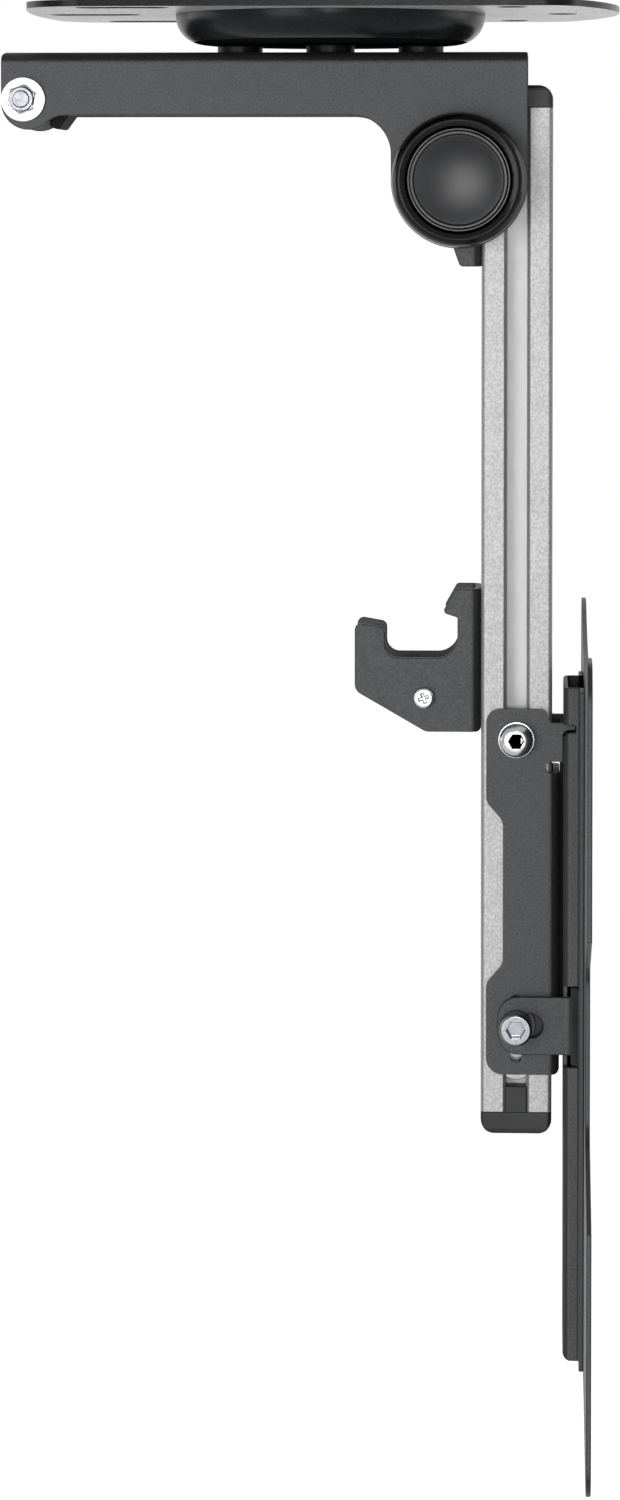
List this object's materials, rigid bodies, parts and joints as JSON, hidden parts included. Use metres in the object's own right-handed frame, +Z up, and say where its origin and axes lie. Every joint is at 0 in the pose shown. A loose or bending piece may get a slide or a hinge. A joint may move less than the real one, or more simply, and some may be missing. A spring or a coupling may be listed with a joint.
{
  "type": "folding television ceiling mount",
  "caption": "Ceiling plate with a swivelling channel arm, a fold-down slotted column, a height-adjustable bracket and a hook-on television plate.",
  "frame": {"origin": "where the swivel axis meets the top face of the ceiling plate", "axes": "+Z up, +X towards the television side, -Y is the near side of the picture"},
  "size_m": [0.1903, 0.224, 0.435],
  "materials": {
    "powder_coat": "matt charcoal powder coat with a fine texture",
    "zinc": "bright zinc-plated steel",
    "black_plastic": "black moulded plastic",
    "aluminium": "blasted and clear anodised",
    "nylon": "black nylon",
    "friction_lining": "dull friction lining",
    "black_rubber": "black rubber"
  },
  "bodies": {
    "ceiling": {"ceiling_plate": "powder_coat", "swivel_bolt": "zinc", "swivel_nut": "zinc", "swivel_washers": "zinc"},
    "arm": {"arm_channel": "powder_coat", "swivel_bush": "nylon", "swivel_glides": "nylon", "front_bolt": "zinc", "front_nut": "zinc", "front_washers": "zinc", "hinge_bolt": "zinc", "hinge_nut": "zinc", "hinge_washers": "zinc", "friction_discs": "friction_lining", "near_cover_ring": "black_plastic", "near_cover_cap": "black_plastic", "far_cover_ring": "black_plastic", "far_cover_cap": "black_plastic"},
    "column": {"column_profile": "aluminium", "top_end_cap": "black_plastic", "bottom_end_cap": "black_plastic", "hinge_bracket": "powder_coat", "hinge_screws": "zinc", "hinge_slot_nuts": "zinc", "catch_hook": "powder_coat", "catch_screws": "zinc", "catch_slot_nuts": "zinc", "catch_cross_screw": "zinc", "catch_sleeve": "zinc", "catch_cross_nut": "zinc"},
    "carriage": {"tv_bracket": "powder_coat", "bracket_pad": "black_rubber", "near_clamp_bar": "zinc", "far_clamp_bar": "zinc", "upper_clamp_screws": "zinc", "upper_clamp_washers": "zinc", "lower_clamp_screws": "zinc", "lower_clamp_spacers": "zinc", "lower_clamp_washers": "zinc", "spine_channel": "powder_coat", "vesa_plate": "powder_coat"},
    "latch": {"latch_lever": "black_plastic"}
  },
  "joints": [
    {"name": "swivel", "type": "hinge", "parent": "ceiling", "child": "arm", "pos_m": [0, 0, 0], "axis": [0, 0, 1], "continuous": true},
    {"name": "fold", "type": "hinge", "parent": "arm", "child": "column", "pos_m": [0.0403, 0, -0.0534], "axis": [0, 1, 0], "range_deg": [0, 90]},
    {"name": "height", "type": "slide", "parent": "column", "child": "carriage", "axis": [0, 0, 1], "range_m": [0, 0.12]},
    {"name": "latch", "type": "hinge", "parent": "arm", "child": "latch", "pos_m": [-0.0939, 0, -0.0286], "axis": [0, 1, 0], "range_deg": [0, 60]}
  ]
}
